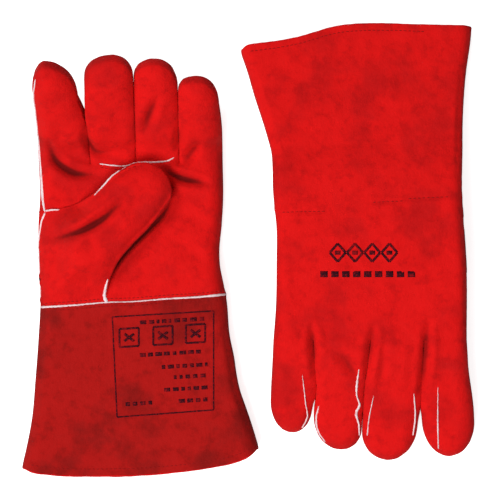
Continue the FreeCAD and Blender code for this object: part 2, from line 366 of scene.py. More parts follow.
def side_column(plan, which, y):
    """Plan points of a panel's edge along one side of the hand or cuff."""
    inward = EDGE_INSET if which == "little_side" else -EDGE_INSET
    return np.stack([plan.side_x(which, y) + inward, y], 1)


def cuff_rows(plan):
    """Plan points of the cuff panels' rows, from the wrist to the hem."""
    count = len(knuckle_columns(plan))
    hem = plan.glove["hem"]
    hem_x = np.linspace(hem[0][0] + EDGE_INSET, hem[-1][0] - EDGE_INSET, count)
    far = np.stack([hem_x, curve_through(hem, hem_x) + HEM_LIP], 1)
    base = wrist_row(plan, count)
    low, high = (side_column(plan, which, np.linspace(base[i, 1], far[i, 1], CUFF_STEPS + 1))
                 for which, i in (("little_side", 0), ("thumb_side", -1)))
    far[0], far[-1], low[0], high[0] = low[-1], high[-1], base[0], base[-1]
    return blended_grid(base, far, low, high)


SPREAD_FROM = 0.35          # where, from wrist to knuckles, the columns start to gather into fingers


def hand_rows(plan):
    """Plan points of the hand panels' rows, from the wrist to the knuckles."""
    knuckle_x = knuckle_columns(plan)
    base = wrist_row(plan, len(knuckle_x))
    steps = int(plan.knuckles / ROW_STEP)
    even = np.linspace(0, 1, len(knuckle_x))
    packed = (knuckle_x - knuckle_x[0]) / (knuckle_x[-1] - knuckle_x[0])
    rows = []
    for share in np.linspace(0, 1, steps + 1):
        y_low, y_high = (base[i, 1] * (1 - share) + plan.knuckles * share for i in (0, -1))
        low, high = (side_column(plan, which, np.array([y]))[0]
                     for which, y in (("little_side", y_low), ("thumb_side", y_high)))
        part = (even + (packed - even) * smoothstep((share - SPREAD_FROM) / (1 - SPREAD_FROM)))[:, None]
        rows.append(low * (1 - part) + high * part)
    rows[0], rows[-1] = base, np.stack([knuckle_x, np.full(len(knuckle_x), plan.knuckles)], 1)
    return np.array(rows)


def finger_rows(plan, finger):
    """Plan points of a finger's panel, from the knuckle row to the tip, as a grid that fits its outline."""
    across = np.linspace(-1, 1, FINGER_COLUMNS + 1)
    length = plan.glove["fingers"][finger]["tip"][1]
    steps = int(length / ROW_STEP)
    along = np.linspace(0, 1, steps + 1) ** 1.5     # closer rows where two fingers part
    base_lo, base_hi = finger_base(plan, finger)
    tip = np.array([plan.cap(finger, a * FINGER_CAP, EDGE_INSET) for a in across])
    # beside another finger the panel reaches its outline at the knuckles, and is inset only further out
    sides = []
    for edge, end in (("lo", tip[0]), ("hi", tip[-1])):
        s = along * end[1]
        inset_in = 0.04 * smoothstep(s / 5) + 0.96 * smoothstep(along / 0.45 - 1.2)
        if (finger, edge) in (("little", "lo"), ("index", "hi")):
            inset_in = np.ones_like(s)
        x = plan.finger_edge(finger, edge)(s) * (1 - inset_in)
        x = x + plan.finger_edge(finger, edge, EDGE_INSET)(s) * inset_in
        sides.append(np.stack([x, s], 1))
    base = np.stack([base_lo + (base_hi - base_lo) * (across + 1) / 2, np.zeros_like(across)], 1)
    return blended_grid(base, tip, *sides) + [0, plan.knuckles]


# ---------------------------------------------------------------- heights
def panel_heights(plan, points):
    """Heights of the palm side and of the back above and below the side seams, at plan points."""
    gap = np.maximum(distance_to_lines(points, *plan.outlines()), EDGE_INSET)
    y = points[:, 1]
    past = y - plan.knuckles
    half = CUFF_HALF + (HAND_HALF - CUFF_HALF) * smoothstep((y + 20) / 40)
    half = half + (FINGER_HALF - half) * smoothstep(past / 30)
    run = EDGE_RUN + (FINGER_EDGE_RUN - EDGE_RUN) * smoothstep((past + 25) / 40)
    return [half * rounding(gap / (run * share), power)
            for power, share in ((ROUND_POWER, 1.0), (BACK_ROUND_POWER, BACK_ROUND_SHARE))]


def rounding(t, power):
    """A superellipse's height, from 0 at its edge, t = 0, to 1 at its middle, t = 1 and beyond."""
    return (1 - (1 - np.clip(t, 0, 1)) ** power) ** (1 / power)


def lifted(rows, height):
    """A grid of plan points with the given heights."""
    return np.concatenate([rows, height.reshape(*rows.shape[:2], 1)], 2)


class Shell:
    """Quads gathered from grids of points, welded where the grids meet."""

    def __init__(self):
        self.points, self.faces, self.tags, self.count = [], [], [], 0

    def add(self, grid, tag):
        rows, columns = grid.shape[:2]
        index = self.count + np.arange(rows * columns).reshape(rows, columns)
        quads = grid_quads(index)
        self.points.append(grid.reshape(-1, 3))
        self.faces.append(quads)
        self.tags.extend([tag] * len(quads))
        self.count += rows * columns

    def mesh(self, name, tags):
        """The welded mesh. Each face's tag is kept as its material number."""
        mesh = bpy.data.meshes.new(name)
        mesh.from_pydata(np.concatenate(self.points).tolist(), [], np.concatenate(self.faces).tolist())
        mesh.polygons.foreach_set("material_index", np.array([tags.index(t) for t in self.tags], np.int32))
        mesh.polygons.foreach_set("use_smooth", np.ones(len(mesh.polygons), bool))
        bm = bmesh.new()
        bm.from_mesh(mesh)
        bmesh.ops.remove_doubles(bm, verts=bm.verts, dist=0.01)
        bmesh.ops.recalc_face_normals(bm, faces=bm.faces)
        bm.to_mesh(mesh)
        bm.free()
        return mesh


def side_wall(top, bottom, outward, bulge):
    """The wall between a panel's edge and the other panel's edge, rounded outwards by bulge."""
    share = 0.5 - 0.5 * np.cos(math.pi * np.linspace(0, 1, SIDE_POINTS + 2))
    out = 1 - (2 * share - 1) ** 4
    wall = top[:, None] * (1 - share)[None, :, None] + bottom[:, None] * share[None, :, None]
    wall[..., :2] += outward[:, None] * (out[None] * bulge[:, None])[..., None]
    return wall


TAGS = ["palm", "back", "cuff_front", "cuff_back"] + [f"{f}_skin" for f in FINGERS]


def glove_shell(plan):
    """The whole leather of the hand, fingers and cuff as one welded mesh."""
    shell = Shell()

    def panels(rows):
        up, down = panel_heights(plan, rows.reshape(-1, 2))
        return lifted(rows, MIDDLE + up), lifted(rows, MIDDLE - down)

    for rows_of, front, back in ((cuff_rows, "cuff_front", "cuff_back"), (hand_rows, "palm", "back")):
        rows = rows_of(plan)
        top, bottom = panels(rows)
        bulge = np.full(len(rows), EDGE_INSET)
        shell.add(top, front)
        shell.add(bottom, back)
        for column, way in ((0, -1.0), (-1, 1.0)):
            outward = np.tile([way, 0.0], (len(rows), 1))
            wall = side_wall(top[:, column], bottom[:, column], outward, bulge)
            shell.add(wall[:, :SEAM_POINT + 1], front)
            shell.add(wall[:, SEAM_POINT:], back)
    for finger in FINGERS:
        top, bottom = panels(finger_rows(plan, finger))
        shell.add(top, f"{finger}_skin")
        shell.add(bottom, f"{finger}_skin")
        # round the finger: up its low side, across the tip and down its high side
        edge = [np.concatenate([g[:, 0], g[-1, 1:-1], g[::-1, -1]]) for g in (top, bottom)]
        tangent = np.gradient(edge[0][:, :2], axis=0)
        outward = unit(np.stack([-tangent[:, 1], tangent[:, 0]], 1))
        outward[0], outward[-1] = (-1, 0), (1, 0)
        bulge = distance_to_lines(edge[0][:, :2], [plan.finger_outline(finger)])
        shell.add(side_wall(edge[0], edge[1], outward, bulge), f"{finger}_skin")
    return shell.mesh(f"{plan.side}_glove", TAGS)


# ---------------------------------------------------------------- the thumb and its wing
# Its two edges in plan, from the wrist or the side seam to where the rounded tip starts.
THUMB_LOW_EDGE = [(22, -1.5), (20.5, 15), (13.9, 30.7), (1.9, 46.2), (-12.1, 60.2)]
THUMB_HIGH_EDGE = [(77.6, 74), (60, 74.6), (46, 78.5), (30, 88.5), (17, 101)]
THUMB_TIP = (-8.0, 89.2)
THUMB_TIP_RADIUS = 23.6
THUMB_CAP = math.radians(62)        # how far round its tip, to each side, its last row reaches
THUMB_DIRECTION = math.radians(130)
THUMB_WAY = np.array([math.cos(THUMB_DIRECTION), math.sin(THUMB_DIRECTION)])
THUMB_RISE = 21.6           # height of the folded thumb above the palm
THUMB_GAP = 1.0             # height of its underside above the palm
THUMB_COLUMNS = 26
THUMB_EDGE_RUN = 15.0
THUMB_EDGE_BULGE_RUN = 6    # points over which the free edge's bulge starts, at each end
WING_RUN = 40.0             # distance from wrist or side over which the wing rises to the thumb
WING_SEAM_RUN = 22.0        # the same from the seam along the thumb's high edge
WING_SEAM_START = -6.0      # where that run starts: the wing is a little raised at the seam itself
WING_PROUD = 0.7            # how far the wing's sewn edge stands above the palm
WING_SUNK = 1.0             # how far it goes into the seam
THUMB_LINING_START = 22.0   # how far from the wing's seam the thumb's lining starts


def thumb_lines(plan):
    """The thumb's low edge, tip, high edge and base, as plan lines that meet at their ends."""
    turn = THUMB_DIRECTION + np.linspace(THUMB_CAP, -THUMB_CAP, THUMB_COLUMNS + 1)
    tip = THUMB_TIP + THUMB_TIP_RADIUS * np.stack([np.cos(turn), np.sin(turn)], 1)
    low = even_points(THUMB_LOW_EDGE + [tuple(tip[0])], THUMB_STEPS + 1)
    high = even_points(THUMB_HIGH_EDGE + [tuple(tip[-1])], THUMB_STEPS + 1)
    # the base goes along the wrist to the side seam, and up that
    y = np.linspace(-3, 71, 12)
    side = np.stack([plan.side_x("thumb_side", y) - EDGE_INSET * 0.6, y], 1)
    wrist_x = np.linspace(22, 72, 8)
    wrist = np.stack([wrist_x, WRIST_TILT * wrist_x + 0.3], 1)
    corner = np.concatenate([wrist, side, [THUMB_HIGH_EDGE[0]]])
    base = resampled(corner, THUMB_COLUMNS + 1)
    low[0], high[0] = base[0], base[-1]
    return low, tip, high, base


def thumb_shell(plan):
    """The thumb and its wing: an upper sheet, a lower sheet and the wall between them."""
    low, tip, high, base = thumb_lines(plan)
    rows = blended_grid(base, tip, low, high)
    flat = rows.reshape(-1, 2)
    free_edge = np.concatenate([low, tip[1:-1], high[::-1]])
    gap = np.maximum(distance_to_lines(flat, [free_edge]), EDGE_INSET)
    from_base = distance_to_lines(flat, [base])
    from_seam = distance_to_lines(flat, [np.array(THUMB_HIGH_EDGE[:3], float)])
    raised = smoothstep(from_base / WING_RUN) * smoothstep((from_seam - WING_SEAM_START) / WING_SEAM_RUN)
    rounded = rounding(gap / THUMB_EDGE_RUN, ROUND_POWER)
    seated = MIDDLE + panel_heights(plan, flat)[0]
    thickness = THUMB_RISE * raised
    top = lifted(rows, seated + WING_PROUD * (1 - raised) + thickness * (1 + rounded) / 2)
    underside = seated - WING_SUNK * (1 - raised) + THUMB_GAP * raised
    bottom = lifted(rows, underside + thickness * (1 - rounded) / 2)
    shell = Shell()
    shell.add(top, "thumb")
    shell.add(bottom, "thumb")
    # all the way round: low edge, tip, high edge and base
    loop = [np.concatenate([g[:, 0], g[-1, 1:-1], g[::-1, -1], g[0, -2:0:-1], g[:1, 0]])
            for g in (top, bottom)]
    tangent = np.gradient(loop[0][:, :2], axis=0)
    tangent[0] = tangent[-1] = loop[0][1, :2] - loop[0][-2, :2]
    outward = unit(np.stack([-tangent[:, 1], tangent[:, 0]], 1), 1e-9)
    free = len(free_edge)
    rising = np.minimum(1, np.arange(free) / THUMB_EDGE_BULGE_RUN)
    bulge = np.zeros(len(outward))
    bulge[:free] = EDGE_INSET * rising * rising[::-1]
    shell.add(side_wall(loop[0], loop[1], outward, bulge), "thumb")
    return shell.mesh(f"{plan.side}_thumb", ["thumb"])


# ---------------------------------------------------------------- seams
# The welts' lines on the palm side, in plan. FINGER_BASE_WELT and INDEX_SIDE_WELT count y from the
# knuckles.
WRIST_WELT = [(77, -6), (50, -4.3), (20, -1.8), (0, -1.2), (-30, 1.2), (-55, 2.6), (-78, 4.8)]
FINGER_BASE_WELT = [(27.4, -0.1), (17, -1.4), (5.8, -1.8), (-3.3, 0.7), (-20.8, 1.5), (-30, 2.8),
                    (-34.5, 5.5)]
THUMB_TOP_WELT = [(5.4, 110.5), (11, 106.5), (16.6, 102.5), (24, 94.4), (31.5, 86.5)]
THUMB_LOW_WELT = [(20.5, 17.5), (22.6, 9), (23.2, 2), (21.2, -2)]
SIDE_TEE_WELT = [(60.6, 74.9), (67, 74.6), (72.6, 73.9)]
INDEX_SIDE_WELT = [(78.5, 82), (80.4, 67), (79.3, 45), (78.4, 28), (77.6, 12), (76.6, -3), (75.6, -18),
                   (74.4, -32), (72.8, -40)]
WRIST_SIDE_WELT = [(72.6, 72.6), (75.3, 66), (77.2, 56), (78.3, 46), (78.7, 30), (77.8, 12), (77.4, 0)]


# ---------------------------------------------------------------- creases
# Where the palm sinks beside the folded thumb, along its low edge.
THUMB_CREVICE = [(-31.6, 90), (-30.5, 80.5), (-24.5, 70), (-13.2, 59.2), (0.9, 45.1), (12.9, 29.9),
                 (19.6, 12)]

# Each crease: its line in plan, how deep and how wide. The y of a line marked "fingers" counts from the
# knuckles, that of one marked "hand" from the wrist.
PALM_CREASES = [
    ("fingers", [(70, 22), (64, 3), (50, -7), (27, -9)], 4.8, 3.8),
    ("fingers", [(39, 36), (37.5, 20), (33, 11.5), (14, 9)], 3.6, 3.2),
    ("fingers", [(-20, -1.5), (-39, -11.5), (-66, -17)], 4.4, 3.4),
    ("fingers", [(-36, -1), (-46, 6), (-56, 20)], 3.0, 4.0),
    ("fingers", [(-22, 66), (-14, 46), (-9, 24)], 3.4, 4.2),
    ("fingers", [(-36, 10), (-41, 36)], 2.8, 3.6),
    ("fingers", [(64, 40), (58, 16)], 1.4, 6.0),
    ("fingers", [(14, 56), (8, 26)], 1.2, 6.0),
    ("hand", [(-70, 30), (-52, 36), (-34, 52)], 1.4, 7.0),
    ("hand", [(-66, 62), (-40, 70)], 1.0, 7.0),
    ("hand", THUMB_CREVICE, 6.2, 2.3),
]
THUMB_CREASES = [
    ("hand", [(2, 88), (11, 79), (26, 66), (44, 56.4), (64, 51), (74, 50)], 5.0, 3.8),
    ("hand", [(33, 54), (38, 43), (48, 34)], 2.2, 6.5),
    ("hand", [(50, 20), (32, 15)], 1.6, 6.0),
    ("hand", [(72, 38), (60, 30), (58, 14)], 1.8, 8.0),
    ("hand", [(28, 56), (4, 62)], 1.2, 7.0),
]
BACK_WRIST_SEAM = [
    ("hand", [(-72, 7.7), (-36, 6.8)], 0.9, 1.6),
    ("hand", [(3, -0.5), (28.5, -1.6)], 0.8, 1.6),
    ("hand", [(32, -3.5), (66, -5.1)], 0.9, 1.6),
]
BACK_CREASES = [
    ("fingers", [(50, -18), (47, 3), (44.5, 30), (43.6, 44)], 4.2, 3.8),
    ("fingers", [(4.5, -14), (2.5, 3), (-1, 26)], 3.2, 3.6),
    ("fingers", [(-47, -14), (-45.6, 3), (-44.5, 24)], 3.6, 3.6),
    ("fingers", [(-34, 6), (-20, 12), (-6, 30)], 2.9, 4.0),
    ("fingers", [(-37, 2), (-41, 28)], 1.2, 4.4),
    ("fingers", [(13, 0), (8, 40)], 2.0, 3.6),
    ("fingers", [(39, -2), (35, 36)], 2.0, 4.0),
] + BACK_WRIST_SEAM
CREASE_POINTS = 24          # points along a crease
CREASE_REACH = 20.0         # points further from a crease's middle than this and its span are left alone
CREASE_FADE = 0.9           # power by which a crease grows shallow towards its ends
CREASE_END_WIDTH = 0.55     # its width there, as a share of its width in the middle
# The bulge beside a crease: distance and width in the crease's widths, and height in its depths.
SHOULDER_AWAY, SHOULDER_WIDTH, SHOULDER_SHARE = 2.1, 0.9, 0.28
SEAM_DIP = (1.0, 1.9)       # depth and width of the dip along a seam
SIDE_SEAM_DIP = (0.8, 1.7)
SIDE_SEAM_INSIDE = 4.6      # how far the dip along the cuff's side seams lies inside its outline


def seam_dips(plan, palm):
    """The dips along the seams, in the form of creases."""
    y = np.linspace(-116, -12, 9)
    dips = []
    for which, inward in (("little_side", SIDE_SEAM_INSIDE), ("thumb_side", -SIDE_SEAM_INSIDE)):
        line = np.stack([plan.side_x(which, y) + inward, y], 1)
        dips.append(("hand", line, *SIDE_SEAM_DIP))
    if palm:
        dips.append(("hand", WRIST_WELT, *SEAM_DIP))
        dips.append(("fingers", FINGER_BASE_WELT, *SEAM_DIP))
    return dips


def crease_depth(plan, points, creases):
    """How far the creases press each plan point in; negative on the bulges beside them."""
    pressed = np.zeros(len(points))
    for mark, line, depth, width in creases:
        line = np.array(line, float)
        if mark == "fingers":
            line = line + [0, plan.knuckles]
        fine = even_points(line, CREASE_POINTS)
        reach = CREASE_REACH + np.linalg.norm(np.ptp(fine, axis=0))
        near = np.linalg.norm(points - fine.mean(0), axis=1) < reach
        place = points[near]
        gap = np.linalg.norm(place[:, None] - fine[None], axis=2)
        nearest = gap.argmin(1)
        away = distance_to_lines(place, [fine])
        fade = np.sin(math.pi * (nearest + 0.5) / len(fine)) ** CREASE_FADE
        wide = width * (CREASE_END_WIDTH + (1 - CREASE_END_WIDTH) * fade)
        valley = np.exp(-(away / wide) ** 2)
        shoulder = np.exp(-((away - SHOULDER_AWAY * wide) / (SHOULDER_WIDTH * wide)) ** 2)
        pressed[near] += depth * fade * (valley - SHOULDER_SHARE * shoulder)
    return pressed


# ---------------------------------------------------------------- bending and laying down
def bent(plan, points, part):
    """A part's points as they lie at rest, still in the glove's own frame."""
    out = np.array(points, float)
    if part in FINGERS:
        start, run, angle, way = plan.knuckles, FINGER_BEND_RUN, plan.curl[part], 1.0
    elif part == "cuff":
        start, run, angle, way = 0.0, CUFF_BEND_RUN, plan.cuff_bend, -1.0
    else:
        return out
    past = (out[:, 1] - start) * way
    offset = 6.0 if part == "cuff" else 0.0
    turn = math.radians(angle) * smoothstep((past - offset) / run) * way
    y, z = out[:, 1] - start, out[:, 2] - PALM_SURFACE
    out[:, 1] = start + y * np.cos(turn) - z * np.sin(turn)
    out[:, 2] = PALM_SURFACE + y * np.sin(turn) + z * np.cos(turn)
    return out


def laid(plan, points, part):
    """A part's points in the frame, in metres."""
    return plan.to_frame(bent(plan, points, part)) * MM


def joint_line(plan, part):
    """Two points in the frame, where the span across the part's joint starts and ends."""
    if part in FINGERS:
        angle = math.radians(plan.curl[part])
        start = np.array([0.0, plan.knuckles, PALM_SURFACE])
        end = start + FINGER_BEND_RUN * np.array([0.0, math.cos(angle), math.sin(angle)])
    elif part == "thumb":
        start = plan.thumb_root - [*(THUMB_WAY * 4), 0]
        end = start + [*(THUMB_WAY * 34), 0]
    else:
        start = np.array([0.0, -6.0, PALM_SURFACE])
        end = start - [0, CUFF_BEND_RUN, 0]
    a, b = plan.to_frame([start, end]) * MM
    return tuple(a), tuple(b)


def attach(plan, obj, part):
    """A piece of the hand rides on the hand; any other piece only has its placement baked into its mesh."""
    side = plan.side
    if part == "hand":
        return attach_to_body(obj, f"{side}_hand")
    start, end = joint_line(plan, part)
    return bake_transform(obj)


# ---------------------------------------------------------------- materials
def node_material(name):
    mat = bpy.data.materials.new(name)
    mat.use_nodes = True
    tree = mat.node_tree
    shader = tree.nodes["Principled BSDF"]
    where = tree.nodes.new("ShaderNodeTexCoord").outputs["Object"]
    return mat, tree, shader, where


def noise_of(tree, where, scale, detail=3.0, rough=0.55, stretch=None):
    """A noise texture's value, with features of 1/scale metres."""
    if stretch:
        mapping = tree.nodes.new("ShaderNodeMapping")
        mapping.inputs["Scale"].default_value = stretch
        tree.links.new(where, mapping.inputs["Vector"])
        where = mapping.outputs["Vector"]
    tex = tree.nodes.new("ShaderNodeTexNoise")
    tex.inputs["Scale"].default_value = scale
    tex.inputs["Detail"].default_value = detail
    tex.inputs["Roughness"].default_value = rough
    tree.links.new(where, tex.inputs["Vector"])
    return tex.outputs["Fac"]


def spread(tree, value, low, high, to_low=0.0, to_high=1.0):
    """The value, with low to high stretched over to_low to to_high."""
    node = tree.nodes.new("ShaderNodeMapRange")
    node.interpolation_type = "SMOOTHSTEP"
    for name, number in (("From Min", low), ("From Max", high), ("To Min", to_low), ("To Max", to_high)):
        node.inputs[name].default_value = number
    tree.links.new(value, node.inputs["Value"])
    return node.outputs["Result"]


def mixed(tree, share, first, second):
    """A colour between two, each a colour or a socket."""
    node = tree.nodes.new("ShaderNodeMix")
    node.data_type = "RGBA"
    tree.links.new(share, node.inputs["Factor"])
    for socket, colour in ((node.inputs[6], first), (node.inputs[7], second)):
        if isinstance(colour, tuple):
            socket.default_value = (*colour, 1.0)
        else:
            tree.links.new(colour, socket)
    return node.outputs[2]


def bumps(tree, shader, layers):
    """Stacks bump layers of (height socket, distance in metres, strength) on the shader's normal."""
    normal = None
    for height, distance, strength in layers:
        node = tree.nodes.new("ShaderNodeBump")
        node.inputs["Distance"].default_value = distance
        node.inputs["Strength"].default_value = strength
        tree.links.new(height, node.inputs["Height"])
        if normal:
            tree.links.new(normal, node.inputs["Normal"])
        normal = node.outputs["Normal"]
    tree.links.new(normal, shader.inputs["Normal"])


def suede(name, bright, dark, rubbed, hollow, mottle=0.6):
    """Dyed split leather: a short matted nap, cloudy dye and pale rubbing on ridges, with painted shade
    darkening its hollows and creases.
    """
    mat, tree, shader, where = node_material(name)
    clouds = noise_of(tree, where, 24, 4.0, 0.6)
    blotches = noise_of(tree, where, 105, 4.0, 0.65)
    nap = noise_of(tree, where, 900, 4.0, 0.7)
    fibres = noise_of(tree, where, 480, 3.0, 0.6, (1.0, 0.35, 1.0))
    # per-point value from the shape: pale rubbing on ridges above 0.5, painted shade in hollows and creases
    # below 0.5
    worn = tree.nodes.new("ShaderNodeAttribute")
    worn.attribute_name = "worn"
    colour = mixed(tree, spread(tree, clouds, 0.44, 0.68, 0.0, mottle), bright, dark)
    colour = mixed(tree, spread(tree, blotches, 0.48, 0.72, 0.0, 0.5), colour, dark)
    colour = mixed(tree, spread(tree, nap, 0.5, 0.75, 0.0, 0.3), colour, rubbed)
    colour = mixed(tree, spread(tree, worn.outputs["Fac"], 0.5, 1.0, 0.0, 0.3), colour, rubbed)
    # painted shade: hollows and creases are darkened towards the near-black hollow colour
    colour = mixed(tree, spread(tree, worn.outputs["Fac"], 0.5, 0.0, 0.0, 0.92), colour, hollow)
    tree.links.new(colour, shader.inputs["Base Color"])
    tree.links.new(spread(tree, blotches, 0.3, 0.7, 0.78, 0.95), shader.inputs["Roughness"])
    shader.inputs["Specular IOR Level"].default_value = 0.06
    shader.inputs["Sheen Weight"].default_value = 0.07
    shader.inputs["Sheen Roughness"].default_value = 0.5
    shader.inputs["Sheen Tint"].default_value = (1.0, 0.25, 0.2, 1.0)
    bumps(tree, shader, [(blotches, 0.0016, 0.4), (fibres, 0.0006, 0.5), (nap, 0.0005, 0.65)])
    return mat


def cut_edge(name, colour, stained):
    """The pale cut edge of undyed leather, with a little dye on it."""
    mat, tree, shader, where = node_material(name)
    stain = noise_of(tree, where, 150, 3.0)
    grain = noise_of(tree, where, 1100, 3.0, 0.65)
    dyed = mixed(tree, spread(tree, stain, 0.5, 0.72, 0.0, 0.6), colour, stained)
    tree.links.new(dyed, shader.inputs["Base Color"])
    tree.links.new(spread(tree, grain, 0.3, 0.7, 0.6, 0.85), shader.inputs["Roughness"])
    bumps(tree, shader, [(grain, 0.0003, 0.6)])
    return mat


def fleece(name, colour, shade):
    """Brushed cotton lining: soft pills on a knitted base."""
    mat, tree, shader, where = node_material(name)
    pills = noise_of(tree, where, 420, 5.0, 0.75)
    loft = noise_of(tree, where, 90, 3.0)
    tree.links.new(mixed(tree, spread(tree, pills, 0.35, 0.7), shade, colour), shader.inputs["Base Color"])
    shader.inputs["Roughness"].default_value = 0.95
    shader.inputs["Sheen Weight"].default_value = 0.4
    bumps(tree, shader, [(loft, 0.002, 0.5), (pills, 0.001, 0.9)])
    return mat


def thread(name, colour, shade):
    mat, tree, shader, where = node_material(name)
    twist = noise_of(tree, where, 1600, 2.0, 0.5, (1.0, 0.4, 1.0))
    tree.links.new(mixed(tree, twist, colour, shade), shader.inputs["Base Color"])
    shader.inputs["Roughness"].default_value = 0.7
    shader.inputs["Specular IOR Level"].default_value = 0.1
    bumps(tree, shader, [(twist, 0.0002, 0.6)])
    return mat


def ink(name, colour, leather):
    """Marking ink that has sunk into the nap, so that leather shows through in specks."""
    mat, tree, shader, where = node_material(name)
    specks = noise_of(tree, where, 700, 4.0, 0.7)
    patches = noise_of(tree, where, 110, 3.0)
    colour_now = mixed(tree, spread(tree, specks, 0.5, 0.66, 0.0, 0.8), colour, leather)
    colour_now = mixed(tree, spread(tree, patches, 0.5, 0.75, 0.0, 0.6), colour_now, leather)
    tree.links.new(colour_now, shader.inputs["Base Color"])
    shader.inputs["Roughness"].default_value = 0.85
    shader.inputs["Specular IOR Level"].default_value = 0.06
    bumps(tree, shader, [(specks, 0.0003, 0.5)])
    return mat


RED, DEEP_RED, RUBBED_RED = (0.66, 0.006, 0.006), (0.38, 0.005, 0.006), (0.76, 0.014, 0.010)
MAROON, DEEP_MAROON, RUBBED_MAROON = (0.38, 0.007, 0.006), (0.18, 0.006, 0.005), (0.50, 0.010, 0.008)
# near-black red painted into hollows and creases as shade
HOLLOW_SHADE = (0.09, 0.003, 0.003)
MATERIALS = {
    "hand_leather": suede("hand_leather", RED, DEEP_RED, RUBBED_RED, HOLLOW_SHADE),
    "cuff_leather": suede("cuff_leather", MAROON, DEEP_MAROON, RUBBED_MAROON, HOLLOW_SHADE, 0.8),
    "welt_leather": cut_edge("welt_leather", (0.78, 0.64, 0.66), (0.60, 0.14, 0.15)),
    "lining_fleece": fleece("lining_fleece", (0.72, 0.68, 0.58), (0.42, 0.38, 0.30)),
}
THREAD = thread("thread", (0.34, 0.006, 0.006), (0.20, 0.005, 0.005))
INK = ink("marking_ink", (0.03, 0.004, 0.008), (0.32, 0.006, 0.008))


# ---------------------------------------------------------------- meshes of pieces
WAVES = ((0.75, 46.0), (0.35, 19.0), (0.12, 7.0))       # height and size of the leather's unevenness, mm
SIDE_FADE = 6.0             # mm above or below the side seams over which creases set in
DARK_DEPTH = 4.0            # depth of a crease whose painted shade is as dark as it gets, mm
CREASE_SHADE = 0.4           # how much painted shade such a crease adds, as a share taken off the rubbing-and-shade value
RUB_AND_SHADE_HEIGHT = 0.0048        # metres above the smoothed surface per unit of the rubbing-and-shade value


def linked(name, data):
    """A new object in the scene."""
    obj = bpy.data.objects.new(name, data)
    bpy.context.scene.collection.objects.link(obj)
    return obj


class Leather:
    """A fine leather surface in the glove's own frame, and what is needed to cut pieces from it."""

    def __init__(self, mesh, tags):
        obj = linked("shaping", mesh)
        finer = obj.modifiers.new("finer", "SUBSURF")
        finer.levels = 1
        fine = bpy.data.meshes.new_from_object(obj.evaluated_get(bpy.context.evaluated_depsgraph_get()))
        self.co, self.normals = read(fine, "vertices", "co"), read(fine, "vertices", "normal")
        self.faces = np.array([p.vertices[:] for p in fine.polygons])
        self.tag = np.array([tags[p.material_index] for p in fine.polygons])
        self.coarse_faces = np.array([p.vertices[:] for p in mesh.polygons])
        self.coarse_tag = np.array([tags[p.material_index] for p in mesh.polygons])
        bpy.data.objects.remove(obj)

    def press(self, plan, top_creases, back_creases, seed):
        """Presses the creases in and gives the leather its slow unevenness."""
        place = self.co[:, :2]
        level = (self.co[:, 2] - MIDDLE) / SIDE_FADE
        upper, lower = smoothstep(level), smoothstep(-level)
        depth = upper * crease_depth(plan, place, top_creases)
        depth = depth + lower * crease_depth(plan, place, back_creases)
        broad, middling, fine = [high * waves(place, size, seed + number)
                                 for number, (high, size) in enumerate(WAVES)]
        side_sign = np.where(self.co[:, 2] > MIDDLE, 1.0, -1.0)
        slow = (broad + middling) * side_sign * np.abs(self.normals[:, 2])
        self.co = self.co - self.normals * ((slow + fine) * (upper + lower))[:, None]
        self.co[:, 2] -= side_sign * depth
        # painted shade in the creases, growing with their depth
        self.crease_shade = np.clip(depth / DARK_DEPTH, 0, 1) ** 2


def read(mesh, items, field):
    values = np.zeros(len(getattr(mesh, items)) * 3, np.float32)
    getattr(mesh, items).foreach_get(field, values)
    return values.reshape(-1, 3).astype(float)


def smooth_normals(co, faces):
    mesh = bpy.data.meshes.new("normals")
    mesh.from_pydata(co.tolist(), [], faces.tolist())
    normals = read(mesh, "vertices", "normal")
    bpy.data.meshes.remove(mesh)
    return normals


def new_piece(name, co, faces, material, normals=None, worn=None):
    """A smooth mesh object from points in metres."""
    mesh = bpy.data.meshes.new(name)
    mesh.from_pydata(co.tolist(), [], faces.tolist() if isinstance(faces, np.ndarray) else faces)
    mesh.polygons.foreach_set("use_smooth", np.ones(len(mesh.polygons), bool))
    mesh.materials.append(material)
    attribute = mesh.attributes.new("worn", "FLOAT", "POINT")
    attribute.data.foreach_set("value", (np.full(len(co), 0.5) if worn is None else worn).astype(np.float32))
    if normals is not None:
        mesh.normals_split_custom_set_from_vertices(normals.tolist())
    return linked(name, mesh)


def rim_edges(faces):
    """The directed edges that only one face has."""
    edges = np.stack([faces, np.roll(faces, -1, 1)], -1).reshape(-1, 2)
    key = {tuple(e) for e in edges.tolist()}
    return [e for e in edges.tolist() if (e[1], e[0]) not in key]


def thick_piece(name, lying, faces, outer, inner, material, worn=None):
    """A closed sheet between two depths under the leather's surface, in mm, less where that is thin."""
    used, index = np.unique(faces, return_inverse=True)
    faces = index.reshape(faces.shape)
    co, normals, room = lying.co[used], lying.normals[used], lying.room[used]
    count = len(co)
    depths = [np.minimum(outer * MM, room * 0.3), np.minimum(inner * MM, room * 0.46)]
    points = np.concatenate([co - normals * depth[:, None] for depth in depths])
    rim = np.array([[b, a, a + count, b + count] for a, b in rim_edges(faces)], int).reshape(-1, 4)
    all_faces = np.concatenate([faces, faces[:, ::-1] + count, rim])
    worn = None if worn is None else np.tile(worn[used], 2)
    return new_piece(name, points, all_faces, material, np.concatenate([normals, -normals]), worn)


